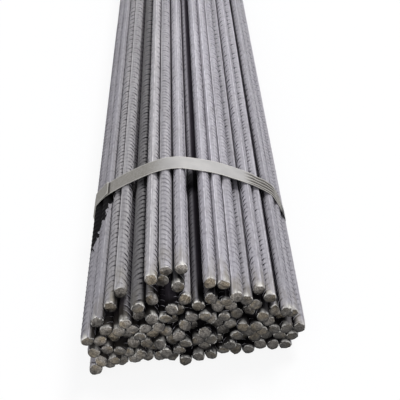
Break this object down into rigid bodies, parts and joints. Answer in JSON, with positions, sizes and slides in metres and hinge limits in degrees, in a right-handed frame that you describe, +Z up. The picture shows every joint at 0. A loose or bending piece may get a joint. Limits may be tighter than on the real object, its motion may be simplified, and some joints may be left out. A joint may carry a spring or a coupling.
{
  "type": "rebar bundle",
  "caption": "Bundle of straight ribbed steel reinforcing bars with staggered sheared ends, held together by flat steel straps.",
  "frame": {"origin": "on the floor, under the middle of the bundle's box", "axes": "+Y along the bars, away from the pictured ends; +Z up; +X to the right of someone looking along the bars from the pictured ends"},
  "size_m": [0.3134, 6.065, 0.1516],
  "materials": {
    "bar_steel": "hot-rolled mill scale, lilac grey, with brown dust towards the sheared ends",
    "strap_steel": "bare cold-rolled steel strapping, dull"
  },
  "bodies": {
    "root": {"bar_layer_1": "bar_steel", "bar_layer_2": "bar_steel", "bar_layer_3": "bar_steel", "bar_layer_4": "bar_steel", "bar_layer_5": "bar_steel", "bar_layer_6": "bar_steel", "bar_layer_7": "bar_steel", "loose_bar_1": "bar_steel", "loose_bar_2": "bar_steel", "loose_bar_3": "bar_steel", "loose_bar_4": "bar_steel", "loose_bar_5": "bar_steel", "loose_bar_6": "bar_steel", "loose_bar_7": "bar_steel", "loose_bar_8": "bar_steel", "loose_bar_9": "bar_steel", "loose_bar_10": "bar_steel", "loose_bar_11": "bar_steel", "loose_bar_12": "bar_steel", "loose_bar_13": "bar_steel", "loose_bar_14": "bar_steel", "loose_bar_15": "bar_steel", "loose_bar_16": "bar_steel", "loose_bar_17": "bar_steel", "loose_bar_18": "bar_steel", "loose_bar_19": "bar_steel", "loose_bar_20": "bar_steel", "loose_bar_21": "bar_steel", "loose_bar_22": "bar_steel", "strap_1": "strap_steel", "strap_2": "strap_steel", "strap_3": "strap_steel", "strap_4": "strap_steel"}
  },
  "joints": []
}
